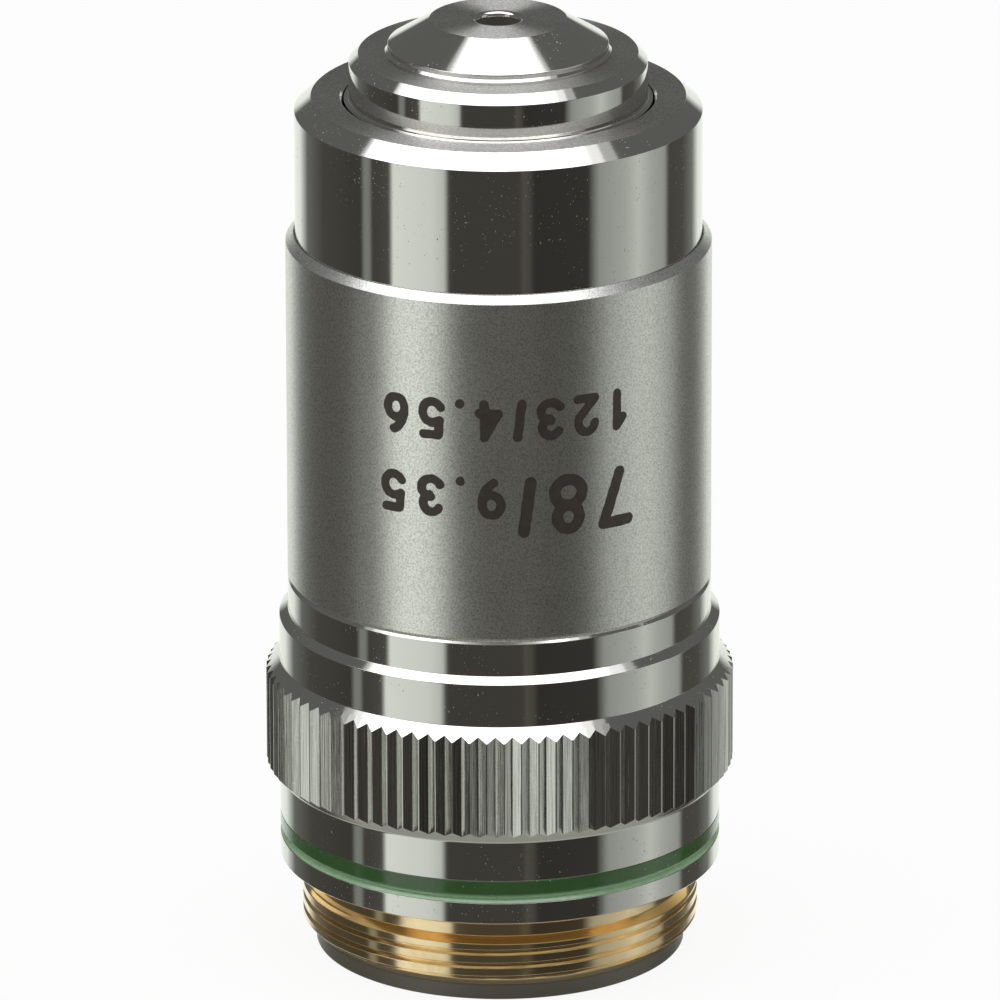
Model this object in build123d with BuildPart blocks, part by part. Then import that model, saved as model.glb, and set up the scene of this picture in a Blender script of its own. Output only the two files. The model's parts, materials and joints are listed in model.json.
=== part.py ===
from build123d import *
import os
from math import cos, pi, radians, sin, sqrt, tan

# Spring-loaded microscope objective of the 20x class, with a standard screw mount.
# Millimetres. +Z runs along the optical axis, from the mounting thread to the nose.
# Z = 0 is the mounting shoulder, from which the parfocal distance is measured.
# A height or radius that follows from others is worked out from them, from the lenses outwards.

os.makedirs("parts", exist_ok=True)

# Fits. Those of turned pieces are radial.
thread_fit = 0.03
slide_fit = 0.07
sleeve_fit = 0.02
lens_fit = 0.02
cell_fit = 0.03
cement_gap = 0.01
seat_gap = 0.02

# Lenses
front_lens_r = 1.90
front_lens_edge = 1.05
front_lens_curve = 2.30
rear_lens_r = 5.00
rear_flint_thickness = 1.10
rear_crown_edge = 0.80
rear_cement_curve = 11.50
rear_rear_curve = 13.50
middle_lens_step = 0.80
middle_flint_thickness = 1.00
middle_crown_edge = 0.74
middle_cement_curve = 9.50
middle_rear_curve = 10.50

# Lens cells, their retaining rings and what lies between them
cell_wall = 1.35
cell_lip = 0.60
lip_bite = 0.40
ring_bite = 0.50
ring_thread_step = 0.45
ring_undercut = 0.20
ring_recess = 0.25
cell_margin = 0.60
spacer_length = 4.80
spacer_wall = 1.10
stop_thickness = 0.40
stop_hole_r = 3.20
stop_bevel = 0.25
stack_ring_length = 1.60
stack_ring_wall = 1.37
spanner_slot_width = 0.80
spanner_slot_depth = 0.50

# Nose sleeve, which slides in the front barrel
nose_wall = 1.38
nose_step = 0.26
nose_chamfer = 0.48
nose_cylinder = 1.62
web_thickness = 3.45
web_step = 1.38
skirt_wall = 0.70
skirt_length = 6.97
flange_thickness = 2.00
flange_lap = 0.20
travel = 3.00
travel_gap = 0.17
keyway_depth = 0.58
keyway_side_gap = 0.08
keyway_end_gap = 0.15

# Front cell, the tip of the nose
collar_lap = 0.70
collar_cove = 0.14
collar_height = 0.50
cone_run = 2.105
cone_height = 1.26
tip_hole_r = 1.06
tip_rim_round = 0.28
tip_wall = 0.81
cell_thread_step = 0.48
spigot_gap = 0.20

# Return spring and its washer
spring_gap = 0.30
wire_diameter = 0.70
spring_turns = 6.5
washer_thickness = 0.50
washer_fit = 0.05

# Front barrel
spigot_wall = 0.90
counterbore_gap = 0.30
barrel_thread_wall = 0.95
thread_relief = 0.60
bore_length = 14.38
bore_break = 0.13
barrel_chamfer_width = 0.85
barrel_chamfer_height = 0.74
barrel_show = 7.18
nose_proud = 2.27
shim_thickness = 0.20
shim_lap = 0.10

# Label sleeve
sleeve_wall = 0.46
sleeve_length = 18.05
sleeve_bevel = 0.39

# Screws
guide_screw_r = 1.00
guide_dog_r = 0.55
guide_dog_gap = 0.15
guide_offset = 3.00
set_screw_r = 0.95
set_screw_angles = (30, 150, 270)
screw_slot_width = 0.35
screw_slot_depth = 0.40
screw_inset = 0.08

# Mount body, from the shoulder upwards
lower_band_height = 1.146
groove_width = 1.204
groove_depth = 0.67
middle_band_height = 2.10
grip_height = 6.20
grip_rise = 0.68
grip_fillet = 0.20
upper_band_height = 2.21
band_step = 0.46
band_step_height = 0.33
top_band_height = 1.66
top_bevel_width = 0.17
top_bevel_height = 0.30
shoulder_break = 0.08
ledge_height = 9.50
throat_inset = 0.10

# Colour ring in its groove
enamel_face_height = 0.73
enamel_slope = 0.30
enamel_break = 0.04

# Knurl
knurl_teeth = 85
knurl_depth = 0.27
knurl_land = 0.06

# Mounting thread, at its crest
thread_crest_r = 10.10
thread_length = 3.90
thread_chamfer = 0.65
relief_length = 1.20
relief_depth = 0.50
relief_slope = 0.30

# Rear ring
rear_wall = 1.48
rear_bore_depth = 2.00
rear_ring_lap = 0.82
rear_ring_height = 0.85
rear_ring_wall = 2.09
rear_ring_gap = 0.10
rear_slot_width = 1.20


def turn(outline, mode=Mode.ADD):
    """Revolves a closed half section of (radius, height) points about the optical axis."""
    with BuildSketch(Plane.XZ) as section:
        with BuildLine():
            Polyline(*outline, close=True)
        make_face()
    revolve(section.sketch, axis=Axis.Z, mode=mode)


def slots(face, span, width, depth):
    """Cuts a spanner slot of this width across a ring, upwards from its rear face."""
    with BuildSketch(Plane.XY.offset(face)) as slot:
        Rectangle(span, width)
    extrude(slot.sketch, amount=depth, mode=Mode.SUBTRACT)


def rim(piece, radius, height):
    """The one circular edge of a piece at this radius and height."""
    circles = piece.edges().filter_by(GeomType.CIRCLE)
    return circles.sort_by(lambda e: abs(e.radius - radius) + abs(e.center().Z - height))[0]


def write(piece, name):
    """Labels a finished piece and writes it to its own file."""
    piece.part.label = name
    export_step(piece.part, f"parts/{name}.step")


def sag(curve, r):
    """How far a lens face of this curve falls away at radius r."""
    return abs(curve) - sqrt(curve * curve - r * r)


def surface(vertex, curve, r):
    """Height of a lens face at radius r. A positive curve bulges towards the nose, none is flat."""
    if curve == 0:
        return vertex
    return vertex - sag(curve, r) if curve > 0 else vertex + sag(curve, r)


def lens(name, rim_r, front, front_curve, rear, rear_curve):
    """A lens from the heights of its two vertices and the curves of its faces."""
    front_edge = surface(front, front_curve, rim_r)
    rear_edge = surface(rear, rear_curve, rim_r)
    half = rim_r / 2
    with BuildPart() as glass:
        with BuildSketch(Plane.XZ):
            with BuildLine():
                if front_curve == 0:
                    Line((0, front), (rim_r, front_edge))
                else:
                    middle = surface(front, front_curve, half)
                    ThreePointArc((0, front), (half, middle), (rim_r, front_edge))
                Line((rim_r, front_edge), (rim_r, rear_edge))
                middle = surface(rear, rear_curve, half)
                ThreePointArc((rim_r, rear_edge), (half, middle), (0, rear))
                Line((0, rear), (0, front))
            make_face()
        revolve(axis=Axis.Z)
    write(glass, name)


def doublet(name, top, lens_r, flint, crown_edge, cement_curve, rear_curve):
    """A cell with its cemented pair of lenses and its retaining ring. Returns the cell's rear face."""
    seat = top - cell_lip
    cement = seat - flint
    vertex = cement - cement_gap - crown_edge - sag(cement_curve, lens_r) - sag(rear_curve, lens_r)
    bottom = vertex - cell_margin
    ring_bore = lens_r - ring_bite
    ring_top = surface(vertex, -rear_curve, ring_bore) - seat_gap
    lens_bore = lens_r + lens_fit
    ring_thread = lens_bore + ring_thread_step

    lens(f"{name}_flint", lens_r, seat, 0, cement, cement_curve)
    lens(f"{name}_crown", lens_r, cement - cement_gap, cement_curve, vertex, -rear_curve)

    with BuildPart() as cell:
        turn([
            (lens_r - lip_bite, top),
            (cell_r, top),
            (cell_r, bottom),
            (ring_thread, bottom),
            (ring_thread, ring_top + ring_undercut),
            (lens_bore, ring_top + ring_undercut),
            (lens_bore, seat),
            (lens_r - lip_bite, seat),
        ])
    write(cell, f"{name}_cell")

    with BuildPart() as ring:
        turn([
            (ring_bore, ring_top),
            (ring_thread - thread_fit, ring_top),
            (ring_thread - thread_fit, bottom + ring_recess),
            (ring_bore, bottom + ring_recess),
        ])
        slots(bottom + ring_recess, 2 * cell_r, spanner_slot_width, spanner_slot_depth)
    write(ring, f"{name}_lens_ring")
    return bottom


def radial_plane(radius, angle, height):
    """A plane that faces outwards at this radius, compass angle and height."""
    out = Vector(cos(radians(angle)), sin(radians(angle)), 0)
    return Plane(origin=out * radius + Vector(0, 0, height), x_dir=(0, 0, 1), z_dir=out)


# Radii, from the lenses outwards
middle_lens_r = rear_lens_r - middle_lens_step
cell_r = rear_lens_r + lens_fit + cell_wall
nose_bore_r = cell_r + cell_fit
nose_land_r = nose_bore_r + nose_wall
nose_face_r = nose_land_r - nose_step
bore_r = nose_land_r + slide_fit
skirt_r = nose_bore_r + skirt_wall
spring_inner_r = skirt_r + spring_gap
spring_outer_r = spring_inner_r + wire_diameter
spigot_bore_r = spring_outer_r + spring_gap
spigot_r = spigot_bore_r + spigot_wall
flange_r = spigot_bore_r + flange_lap
counterbore_r = flange_r + counterbore_gap
barrel_thread_r = spigot_r + thread_fit
barrel_r = barrel_thread_r + barrel_thread_wall
sleeve_bore_r = barrel_r + sleeve_fit
sleeve_r = sleeve_bore_r + sleeve_wall
top_band_r = sleeve_r
band_r = top_band_r + band_step
grip_r = band_r + grip_rise

# Heights, from the shoulder upwards
groove_top = lower_band_height + groove_width
grip_base = groove_top + middle_band_height
grip_top = grip_base + grip_height
upper_band_top = grip_top + upper_band_height
top_band_base = upper_band_top + band_step_height
top_band_top = top_band_base + top_band_height
seat = top_band_top + top_bevel_height
barrel_base = seat + shim_thickness
sleeve_top = seat + sleeve_length
barrel_face = sleeve_top + barrel_show
stop_shoulder = barrel_face - bore_length
flange_top = stop_shoulder - seat_gap
flange_base = flange_top - flange_thickness
spigot_top = flange_base - travel - travel_gap
nose_face = barrel_face + nose_proud
web_base = nose_face - web_thickness
tip = nose_face + collar_height + cone_height
guide_height = stop_shoulder + guide_offset
washer_top = ledge_height + washer_thickness

# Front lens cell: cone, collar and the threaded spigot that holds it in the nose
front_spigot_r = nose_bore_r - web_step
collar_r = front_spigot_r + collar_lap - collar_cove
front_seat = tip - tip_wall
front_lens_back = front_seat - front_lens_edge
front_vertex = front_lens_back - sag(front_lens_curve, front_lens_r)
front_ring_bore = front_lens_r - ring_bite
front_ring_top = surface(front_vertex, -front_lens_curve, front_ring_bore) - seat_gap
front_ring_r = front_lens_r + cell_thread_step
spigot_base = web_base + spigot_gap
with BuildPart() as front_cell:
    turn([
        (tip_hole_r, tip),
        (collar_r - cone_run, tip),
        (collar_r, tip - cone_height),
        (collar_r, nose_face + 2 * collar_cove),
        (collar_r + collar_cove, nose_face + collar_cove),
        (collar_r + collar_cove, nose_face),
        (front_spigot_r, nose_face),
        (front_spigot_r, spigot_base),
        (front_ring_r + thread_fit, spigot_base),
        (front_ring_r + thread_fit, front_ring_top + ring_undercut),
        (front_lens_r + lens_fit, front_ring_top + ring_undercut),
        (front_lens_r + lens_fit, front_seat),
        (tip_hole_r, front_seat),
    ])
    fillet(rim(front_cell, tip_hole_r, tip), radius=tip_rim_round)
write(front_cell, "front_cell")

lens("front_lens", front_lens_r, front_seat, 0, front_vertex, -front_lens_curve)

with BuildPart() as front_lens_ring:
    turn([
        (front_ring_bore, front_ring_top),
        (front_ring_r, front_ring_top),
        (front_ring_r, spigot_base + ring_recess),
        (front_ring_bore + ring_bite, spigot_base + ring_recess),
        (front_ring_bore, front_ring_top - ring_bite),
    ])
    slots(spigot_base + ring_recess, 2 * front_spigot_r, spanner_slot_width, spanner_slot_depth)
write(front_lens_ring, "front_lens_ring")

# The two cemented pairs, the spacer between them, the aperture stop and the ring that locks the stack
middle_bottom = doublet(
    "middle", web_base, middle_lens_r, middle_flint_thickness, middle_crown_edge,
    middle_cement_curve, middle_rear_curve,
)
rear_top = middle_bottom - spacer_length
with BuildPart() as centre_spacer:
    turn([
        (cell_r - spacer_wall, middle_bottom),
        (cell_r, middle_bottom),
        (cell_r, rear_top),
        (cell_r - spacer_wall, rear_top),
    ])
write(centre_spacer, "centre_spacer")

rear_bottom = doublet(
    "rear", rear_top, rear_lens_r, rear_flint_thickness, rear_crown_edge,
    rear_cement_curve, rear_rear_curve,
)
stop_base = rear_bottom - stop_thickness
with BuildPart() as aperture_stop:
    turn([
        (stop_hole_r, rear_bottom),
        (cell_r, rear_bottom),
        (cell_r, stop_base),
        (stop_hole_r + stop_bevel, stop_base),
        (stop_hole_r, stop_base + stop_bevel),
    ])
write(aperture_stop, "aperture_stop")

stack_base = stop_base - stack_ring_length
stack_ring_r = nose_bore_r - thread_fit
with BuildPart() as stack_ring:
    turn([
        (stack_ring_r - stack_ring_wall, stop_base),
        (stack_ring_r, stop_base),
        (stack_ring_r, stack_base),
        (stack_ring_r - stack_ring_wall, stack_base),
    ])
    slots(stack_base, 2 * nose_bore_r, spanner_slot_width, spanner_slot_depth)
write(stack_ring, "stack_ring")

# Nose sleeve: front web, sliding land with its keyway, stop flange and rear skirt
step_height = nose_face - nose_chamfer - nose_cylinder - nose_step
keyway_floor_r = nose_land_r - keyway_depth
keyway_width = 2 * (guide_dog_r + keyway_side_gap)
keyway_length = travel + 2 * (guide_dog_r + keyway_end_gap)
with BuildPart() as nose_sleeve:
    turn([
        (front_spigot_r + thread_fit, nose_face),
        (nose_face_r - nose_chamfer, nose_face),
        (nose_face_r, nose_face - nose_chamfer),
        (nose_face_r, step_height),
        (nose_land_r, step_height),
        (nose_land_r, flange_top),
        (flange_r, flange_top),
        (flange_r, flange_base),
        (skirt_r, flange_base),
        (skirt_r, flange_base - skirt_length),
        (nose_bore_r, flange_base - skirt_length),
        (nose_bore_r, web_base),
        (front_spigot_r + thread_fit, web_base),
    ])
    fillet(rim(nose_sleeve, nose_face_r, step_height), radius=0.96 * nose_step)
    with BuildSketch(radial_plane(keyway_floor_r, 90, guide_height + travel / 2)):
        SlotOverall(keyway_length, keyway_width)
    extrude(amount=2 * keyway_depth, mode=Mode.SUBTRACT)
write(nose_sleeve, "nose_sleeve")

# Front barrel: the bore that guides the nose, the stop shoulder and the thread over the mount's spigot
set_screw_height = (barrel_base + spigot_top) / 2
with BuildPart() as front_barrel:
    turn([
        (bore_r + bore_break, barrel_face),
        (barrel_r - barrel_chamfer_width, barrel_face),
        (barrel_r, barrel_face - barrel_chamfer_height),
        (barrel_r, barrel_base),
        (barrel_thread_r, barrel_base),
        (barrel_thread_r, spigot_top + thread_relief),
        (counterbore_r, spigot_top + thread_relief),
        (counterbore_r, stop_shoulder),
        (bore_r, stop_shoulder),
        (bore_r, barrel_face - bore_break),
    ])
    with BuildSketch(radial_plane(0, 90, guide_height)):
        Circle(guide_screw_r + thread_fit)
    extrude(amount=2 * barrel_r, mode=Mode.SUBTRACT)
    for angle in set_screw_angles:
        with BuildSketch(radial_plane(0, angle, set_screw_height)):
            Circle(set_screw_r + thread_fit)
        extrude(amount=2 * barrel_r, mode=Mode.SUBTRACT)
write(front_barrel, "front_barrel")

# Guide screw, whose dog runs in the nose's keyway and keeps it from turning
screw_head_r = barrel_r - screw_inset
with BuildPart() as guide_screw:
    with BuildSketch(radial_plane(keyway_floor_r + guide_dog_gap, 90, guide_height)):
        Circle(guide_dog_r)
    extrude(amount=screw_head_r - keyway_floor_r - guide_dog_gap)
    with BuildSketch(radial_plane(bore_r + seat_gap, 90, guide_height)):
        Circle(guide_screw_r)
    extrude(amount=screw_head_r - bore_r - seat_gap)
    with BuildSketch(radial_plane(screw_head_r, 90, guide_height)):
        Rectangle(screw_slot_width, 4 * guide_screw_r)
    extrude(amount=-screw_slot_depth, mode=Mode.SUBTRACT)
write(guide_screw, "guide_screw")

# Set screws, which lock the front barrel on the mount's spigot once the focus is set
with BuildPart() as set_screws:
    for angle in set_screw_angles:
        with BuildSketch(radial_plane(spigot_r + seat_gap, angle, set_screw_height)):
            Circle(set_screw_r)
        extrude(amount=screw_head_r - spigot_r - seat_gap)
        with BuildSketch(radial_plane(screw_head_r, angle, set_screw_height)):
            Rectangle(screw_slot_width, 4 * set_screw_r)
        extrude(amount=-screw_slot_depth, mode=Mode.SUBTRACT)
write(set_screws, "set_screws")

# Label sleeve, slid over the front barrel down to the mount body
with BuildPart() as label_sleeve:
    turn([
        (sleeve_bore_r, seat),
        (sleeve_r, seat),
        (sleeve_r, sleeve_top - sleeve_bevel),
        (sleeve_r - sleeve_bevel, sleeve_top),
        (sleeve_bore_r, sleeve_top),
    ])
write(label_sleeve, "label_sleeve")

# Shim that sets the parfocal distance
with BuildPart() as parfocal_shim:
    turn([
        (spigot_r + thread_fit, seat),
        (barrel_r - shim_lap, seat),
        (barrel_r - shim_lap, barrel_base),
        (spigot_r + thread_fit, barrel_base),
    ])
write(parfocal_shim, "parfocal_shim")

# Mount body: thread, shoulder, groove, knurled grip, bands and the spigot inside the barrel
throat_r = spring_inner_r - throat_inset
rear_bore_r = thread_crest_r - rear_wall
relief_r = thread_crest_r - relief_depth
thread_end = -thread_length
groove_floor_r = band_r - groove_depth
with BuildPart() as mount_body:
    turn([
        (thread_crest_r - thread_chamfer, thread_end),
        (thread_crest_r, thread_end + thread_chamfer),
        (thread_crest_r, -relief_length - relief_slope),
        (relief_r, -relief_length),
        (relief_r, 0),
        (band_r - shoulder_break, 0),
        (band_r, shoulder_break),
        (band_r, lower_band_height),
        (groove_floor_r, lower_band_height),
        (groove_floor_r, groove_top),
        (band_r, groove_top),
        (band_r, grip_base),
        (grip_r, grip_base + grip_rise),
        (grip_r, grip_top - grip_rise),
        (band_r, grip_top),
        (band_r, upper_band_top),
        (top_band_r, top_band_base),
        (top_band_r, top_band_top),
        (top_band_r - top_bevel_width, seat),
        (spigot_r, seat),
        (spigot_r, spigot_top),
        (spigot_bore_r, spigot_top),
        (spigot_bore_r, ledge_height),
        (throat_r, ledge_height),
        (throat_r, thread_end + rear_bore_depth),
        (rear_bore_r, thread_end + rear_bore_depth),
        (rear_bore_r, thread_end),
    ])
    fillet(rim(mount_body, band_r, grip_base), radius=grip_fillet)
    # One vee for each space of the straight knurl, wide at the crest and sharp at the root
    knurl_mouth = 2 * pi * grip_r / knurl_teeth - knurl_land
    overcut = 2 * knurl_depth
    mouth = knurl_mouth / 2 * (knurl_depth + overcut) / knurl_depth
    with BuildSketch(Plane.XY.offset(grip_base)):
        with PolarLocations(grip_r, knurl_teeth):
            Polygon((-knurl_depth, 0), (overcut, -mouth), (overcut, mouth), align=None)
    extrude(amount=grip_height, mode=Mode.SUBTRACT)
write(mount_body, "mount_body")

# Colour ring: enamel that fills the groove, with a notch above the lower band
with BuildPart() as colour_ring:
    turn([
        (groove_floor_r, lower_band_height),
        (band_r, lower_band_height),
        (band_r - enamel_slope, lower_band_height + enamel_slope),
        (band_r, groove_top - enamel_face_height),
        (band_r, groove_top - enamel_break),
        (band_r - enamel_break, groove_top),
        (groove_floor_r, groove_top),
    ])
write(colour_ring, "colour_ring")

# Blackened rear ring, screwed into the back of the thread
rear_spigot_r = rear_bore_r - thread_fit
with BuildPart() as rear_ring:
    turn([
        (rear_spigot_r - rear_ring_wall, thread_end - rear_ring_height),
        (rear_spigot_r + rear_ring_lap, thread_end - rear_ring_height),
        (rear_spigot_r + rear_ring_lap, thread_end),
        (rear_spigot_r, thread_end),
        (rear_spigot_r, thread_end + rear_bore_depth - rear_ring_gap),
        (rear_spigot_r - rear_ring_wall, thread_end + rear_bore_depth - rear_ring_gap),
    ])
    slots(thread_end - rear_ring_height, 2 * thread_crest_r, rear_slot_width, spanner_slot_depth)
write(rear_ring, "rear_ring")

# Washer on the ledge of the mount body, and the spring that pushes the nose forwards
with BuildPart() as spring_washer:
    turn([
        (throat_r + washer_fit, ledge_height),
        (spigot_bore_r - washer_fit, ledge_height),
        (spigot_bore_r - washer_fit, washer_top),
        (throat_r + washer_fit, washer_top),
    ])
write(spring_washer, "spring_washer")

wire_r = wire_diameter / 2
coil_base = washer_top + wire_r + seat_gap
coil_height = flange_base - wire_r - seat_gap - coil_base
with BuildPart() as return_spring:
    with BuildLine() as coil:
        Helix(coil_height / spring_turns, coil_height, spring_inner_r + wire_r, center=(0, 0, coil_base))
    wire = coil.line
    with BuildSketch(Plane(origin=wire @ 0, z_dir=wire % 0)):
        Circle(wire_r)
    sweep(path=wire, is_frenet=True)
write(return_spring, "return_spring")

coil_length = sqrt((2 * pi * (spring_inner_r + wire_r) * spring_turns) ** 2 + coil_height**2)
print("spring wire", round(return_spring.part.volume / (pi * wire_r**2), 2), "of", round(coil_length, 2))
print("overall length", round(tip - thread_end + rear_ring_height, 2), "diameter", round(2 * grip_r, 2))
print("tip", round(tip, 3), "barrel face", round(barrel_face, 3), "sleeve top", round(sleeve_top, 3))
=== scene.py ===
import json
from functools import cache
from math import atan2, cos, hypot, pi, radians, sin, sqrt

import bmesh
import bpy
from bpy.props import FloatProperty, FloatVectorProperty, IntProperty, PointerProperty
from mathutils import Matrix, Vector, noise as mathnoise


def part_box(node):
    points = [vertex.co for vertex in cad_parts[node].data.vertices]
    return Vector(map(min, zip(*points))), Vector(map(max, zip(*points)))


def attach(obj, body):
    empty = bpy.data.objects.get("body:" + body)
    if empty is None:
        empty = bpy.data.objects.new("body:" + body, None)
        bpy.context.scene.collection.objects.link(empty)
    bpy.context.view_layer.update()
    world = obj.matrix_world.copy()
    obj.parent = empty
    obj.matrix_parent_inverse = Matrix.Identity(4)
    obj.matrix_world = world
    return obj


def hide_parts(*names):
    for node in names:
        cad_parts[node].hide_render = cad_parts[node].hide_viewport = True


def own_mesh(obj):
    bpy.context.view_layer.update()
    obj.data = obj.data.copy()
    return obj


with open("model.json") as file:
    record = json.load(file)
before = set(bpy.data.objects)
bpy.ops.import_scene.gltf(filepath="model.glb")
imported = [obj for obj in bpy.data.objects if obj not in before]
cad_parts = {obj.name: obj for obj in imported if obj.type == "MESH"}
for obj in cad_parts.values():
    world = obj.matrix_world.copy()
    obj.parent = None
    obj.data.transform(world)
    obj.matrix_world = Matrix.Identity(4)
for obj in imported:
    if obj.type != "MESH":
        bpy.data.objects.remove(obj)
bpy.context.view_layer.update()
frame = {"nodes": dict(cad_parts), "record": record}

bl_info = {
    "name": "Microscope objective",
    "version": (1, 0, 0),
    "blender": (4, 5, 0),
    "location": "View3D > Sidebar > Objective",
    "description": "Dresses the packed microscope objective: chrome, satin, enamel, brass and glass",
    "category": "Object",
}

MM = 0.001
MICRON = 1e-6
BARREL = "barrel"
NOSE = "nose"


def reach(node):
    """Outer radius, lowest and highest point of a round node, in millimetres."""
    low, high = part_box(node)
    return high.x / MM, low.z / MM, high.z / MM


def mid_height(node):
    """Height of a node's middle, in millimetres."""
    low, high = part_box(node)
    return (low.z + high.z) / 2 / MM


SLEEVE_R, SEAT, SLEEVE_TOP = reach("label_sleeve")
BARREL_R, BARREL_BASE, BARREL_FACE = reach("front_barrel")
BAND_R, GROOVE_BASE, GROOVE_TOP = reach("colour_ring")
GRIP_R, THREAD_END, SPIGOT_TOP = reach("mount_body")
FLANGE_R, SKIRT_END, NOSE_FACE = reach("nose_sleeve")
RING_R, RING_END, RING_TOP = reach("rear_ring")
NOSE_TIP = reach("front_cell")[2]
SPRING_R, SPRING_BASE, SPRING_TOP = reach("return_spring")
SCREW_HEIGHT = mid_height("set_screws")
GUIDE_HEIGHT = mid_height("guide_screw")

# Sizes that two pieces share, in millimetres
GROOVE_R = BAND_R - 0.67
CORE_R = BAND_R + 0.23
BORE_R = 7.30
STOP_HEIGHT = 26.00


def length(name, description, default):
    """A size in millimetres that a user may change."""
    return FloatProperty(name=name, description=description, default=default, min=0, max=100, precision=3)


def tint(name, description, default):
    """A colour that a user may change."""
    return FloatVectorProperty(
        name=name, description=description, default=default, size=3, min=0, max=1, subtype="COLOR"
    )


def share(name, description, default):
    """A value between 0 and 1 that a user may change."""
    return FloatProperty(name=name, description=description, default=default, min=0, max=1, subtype="FACTOR")


class ObjectiveSizes(bpy.types.PropertyGroup):
    """Sizes of the turned pieces, in millimetres."""

    edge: length("Edge round", "Radius that every turned edge is broken with", 0.045)
    teeth: IntProperty(name="Knurl teeth", description="Teeth round the grip", default=85, min=12, max=400)
    knurl_depth: length("Knurl depth", "From a tooth's crest to its root", 0.27)
    knurl_land: length("Knurl land", "Flat left on a tooth's crest", 0.06)
    grip_base: length("Grip base", "Height where the grip's lower chamfer starts", 4.45)
    grip_top: length("Grip top", "Height where the grip's upper chamfer ends", 10.65)
    grip_fillet: length("Grip fillet", "Hollow at the foot of the lower chamfer", 0.20)
    pitch: length("Thread pitch", "Pitch of the mounting thread, 36 to the inch", 25.4 / 36)
    thread_depth: length("Thread depth", "Depth of the mounting thread", 0.26)
    crest_share: share("Crest share", "Share of the pitch left flat on the crests", 0.56)
    flank_share: share("Flank share", "Share of the pitch taken by the two flanks", 0.38)
    crest_r: length("Thread crest", "Radius over the thread's crests", 10.10)
    relief: length("Relief", "Length of the plain relief under the shoulder", 1.20)
    wire: length("Wire", "Diameter of the spring's wire", 0.70)
    turns: FloatProperty(
        name="Spring turns", description="Turns of the return spring", default=6.5, min=1, max=30
    )
    letter_height: length("Numeral height", "Height of the small numerals", 2.22)
    letter_gap: length("Numeral gap", "Space between two numerals", 0.51)
    letter_step: length("Numeral step", "Size of the cells that fill the numerals", 0.05)
    letter_relief: length("Numeral relief", "How far the paint stands out of the sleeve", 0.012)


class ObjectiveFinishes(bpy.types.PropertyGroup):
    """Colours and roughness of the finishes."""

    chrome: tint("Chrome", "Polished chrome plate", (0.74, 0.735, 0.71))
    satin: tint("Satin chrome", "Fine satin of the label sleeve", (1.0, 1.0, 0.97))
    enamel: tint("Enamel", "Green enamel of the colour ring", (0.030, 0.080, 0.023))
    black: tint("Black", "Blackened metal", (0.135, 0.127, 0.100))
    brass: tint("Brass", "Turned brass", (1.0, 0.80, 0.50))
    steel: tint("Steel", "Screws, washer and spring", (0.45, 0.44, 0.42))
    paint: tint("Numeral paint", "Dark paint of the numerals", (0.028, 0.020, 0.016))
    chrome_roughness: share("Chrome roughness", "How much the chrome blurs", 0.07)
    satin_roughness: share("Satin roughness", "How much the satin blurs", 0.33)


def sizes():
    return bpy.context.scene.objective_sizes


def finishes():
    return bpy.context.scene.objective_finishes


# Node trees


def feed(socket, value):
    """Joins a socket to another one, or gives it a plain value."""
    if isinstance(value, bpy.types.NodeSocket):
        socket.id_data.links.new(value, socket)
    else:
        socket.default_value = value


def opaque(colour):
    """A plain colour with full alpha; a socket stays as it is."""
    return colour if isinstance(colour, bpy.types.NodeSocket) else (*colour, 1)


def add(tree, kind, inputs=None, **settings):
    """Adds a node, sets it up and feeds its inputs."""
    made = tree.nodes.new(kind)
    for name, value in settings.items():
        setattr(made, name, value)
    for key, value in (inputs or {}).items():
        feed(made.inputs[key], value)
    return made


def get(tree, kind, inputs=None, **settings):
    """A new node's first output."""
    return add(tree, kind, inputs, **settings).outputs[0]


def calc(tree, operation, a, b=0.0, c=0.0, clamp=False):
    """One Math node's result."""
    made = add(tree, "ShaderNodeMath", operation=operation, use_clamp=clamp)
    for socket, value in zip(made.inputs, (a, b, c)):
        feed(socket, value)
    return made.outputs[0]


def scaled(tree, field, by, plus=0.0):
    """A field times a factor, plus an offset."""
    return calc(tree, "MULTIPLY_ADD", field, by, plus)


def vector(tree, x=0.0, y=0.0, z=0.0):
    """A vector of three parts."""
    return get(tree, "ShaderNodeCombineXYZ", {0: x, 1: y, 2: z})


def parts(tree, whole):
    """A vector's three parts."""
    return add(tree, "ShaderNodeSeparateXYZ", {0: whole}).outputs


def off_axis(tree, x, y):
    """Distance from the optical axis."""
    return calc(tree, "SQRT", calc(tree, "ADD", calc(tree, "MULTIPLY", x, x), calc(tree, "MULTIPLY", y, y)))


def ramp(tree, factor, stops):
    """A colour ramp through (position, grey or colour) stops."""
    made = add(tree, "ShaderNodeValToRGB", {0: factor})
    band = made.color_ramp
    while len(band.elements) < len(stops):
        band.elements.new(0.5)
    for element, (place, value) in zip(band.elements, stops):
        element.position = place
        element.color = opaque((value,) * 3 if isinstance(value, float) else value)
    return made.outputs[0]


def rising(tree, field, low, high, most=1.0):
    """0 where a field is under low, most where it is over high."""
    return ramp(tree, field, ((low, 0.0), (high, most)))


def mix(tree, factor, a, b):
    """Two colours mixed."""
    return add(tree, "ShaderNodeMix", {0: factor, 6: opaque(a), 7: opaque(b)}, data_type="RGBA").outputs[2]


def noise(tree, place, scale, detail=3.0, roughness=0.6):
    """Noise between 0 and 1, with its scale in cells to the metre."""
    inputs = {"Vector": place, "Scale": scale, "Detail": detail, "Roughness": roughness}
    return get(tree, "ShaderNodeTexNoise", inputs)


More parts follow.
